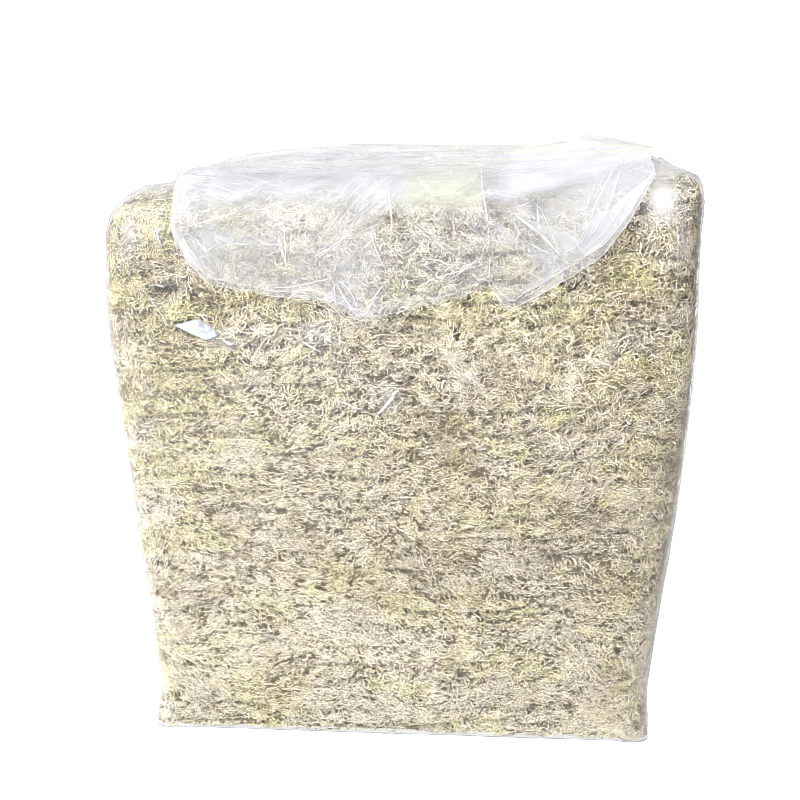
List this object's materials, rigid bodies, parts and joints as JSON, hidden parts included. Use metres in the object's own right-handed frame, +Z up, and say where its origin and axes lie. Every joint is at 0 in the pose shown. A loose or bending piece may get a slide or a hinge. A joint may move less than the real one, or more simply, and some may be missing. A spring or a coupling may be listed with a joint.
{
  "type": "pressed moss bale in a clear bag",
  "caption": "Upright block of pressed dried moss in a clear film bag, its open neck folded over the top and hanging down the front.",
  "frame": {"origin": "centre of the bounding box, on the surface that the bag stands on", "axes": "+Z up, -Y towards the broad front that the neck hangs over, +X to the right seen from the front"},
  "size_m": [0.4274, 0.2626, 0.4628],
  "materials": {
    "dried_moss": "matt, fibrous, straw to pale green",
    "clear_film": "clear and glossy, slightly milky in the folds"
  },
  "bodies": {
    "root": {"moss_bale": "dried_moss", "bag": "clear_film"}
  },
  "joints": []
}
